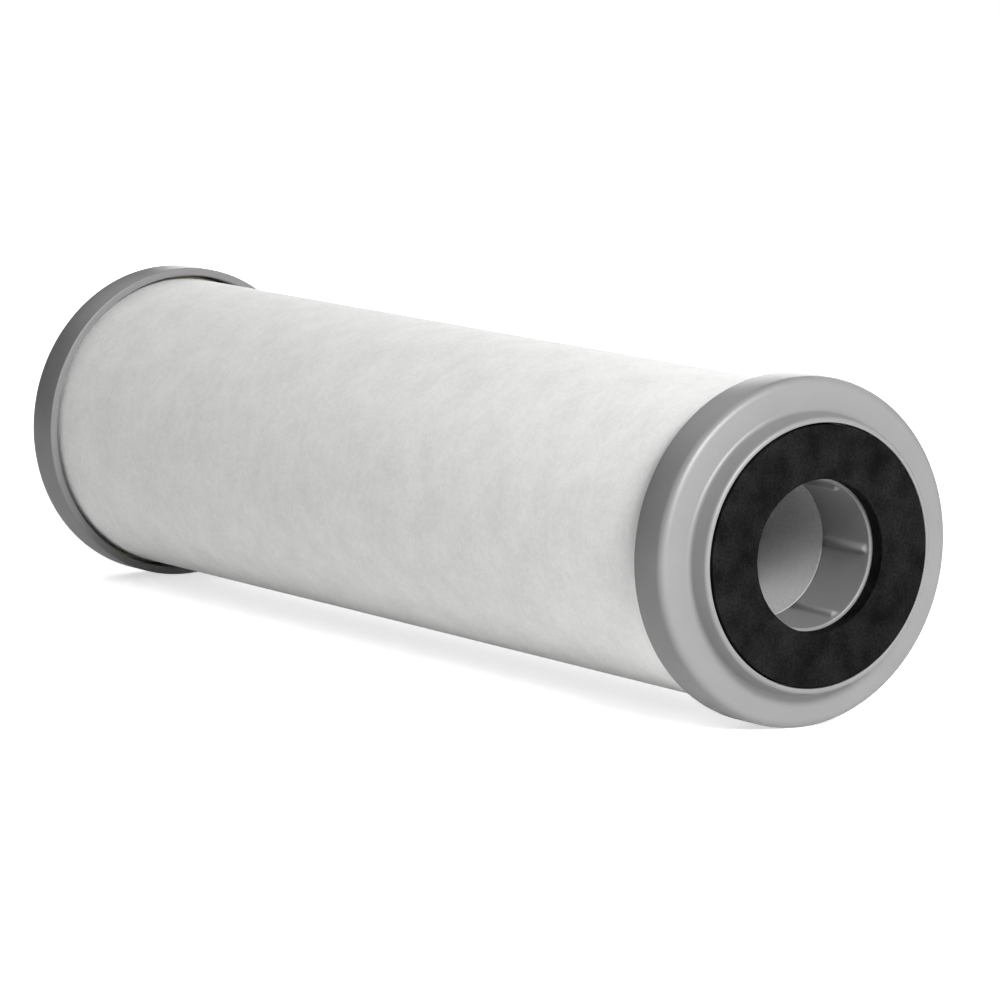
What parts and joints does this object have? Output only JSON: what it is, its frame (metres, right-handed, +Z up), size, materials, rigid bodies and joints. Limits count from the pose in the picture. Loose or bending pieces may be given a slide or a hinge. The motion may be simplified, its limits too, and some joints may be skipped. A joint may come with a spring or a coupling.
{
  "type": "water filter cartridge",
  "caption": "Drop-in cylindrical water filter cartridge with end caps, flat seal rings and an open central bore, lying on its side.",
  "frame": {"origin": "on the floor plane under the middle of the cartridge, which lies on its side: bottom centre of the bounding box", "axes": "+X along the cartridge's axis, out of the front end; +Z up; the axis runs at the height of the caps' radius"},
  "size_m": [0.248, 0.068, 0.068],
  "materials": {
    "cap_plastic": "satin moulded grey polypropylene",
    "seal_rubber": "matt black cut sheet rubber",
    "wrap_nonwoven": "smooth white non-woven polypropylene",
    "sediment_felt": "soft felt",
    "bonded_carbon": "matt granular black",
    "inner_fleece": "thin fleece",
    "core_plastic": "satin moulded grey polypropylene",
    "hot_melt": "waxy hot-melt adhesive"
  },
  "bodies": {
    "cartridge": {"front_end_cap": "cap_plastic", "rear_end_cap": "cap_plastic", "outer_wrap": "wrap_nonwoven", "wrap_glue_bead": "hot_melt", "prefilter_sleeve": "sediment_felt", "carbon_block": "bonded_carbon", "inner_fleece": "inner_fleece", "core_tube": "core_plastic", "front_glue_ring": "hot_melt", "rear_glue_ring": "hot_melt"},
    "front_gasket": {"front_gasket": "seal_rubber"},
    "rear_gasket": {"rear_gasket": "seal_rubber"}
  },
  "joints": [
    {"name": "front_gasket_off", "type": "slide", "parent": "cartridge", "child": "front_gasket", "axis": [1, 0, 0], "range_m": [0, 0.02]},
    {"name": "rear_gasket_off", "type": "slide", "parent": "cartridge", "child": "rear_gasket", "axis": [-1, 0, 0], "range_m": [0, 0.02]}
  ]
}
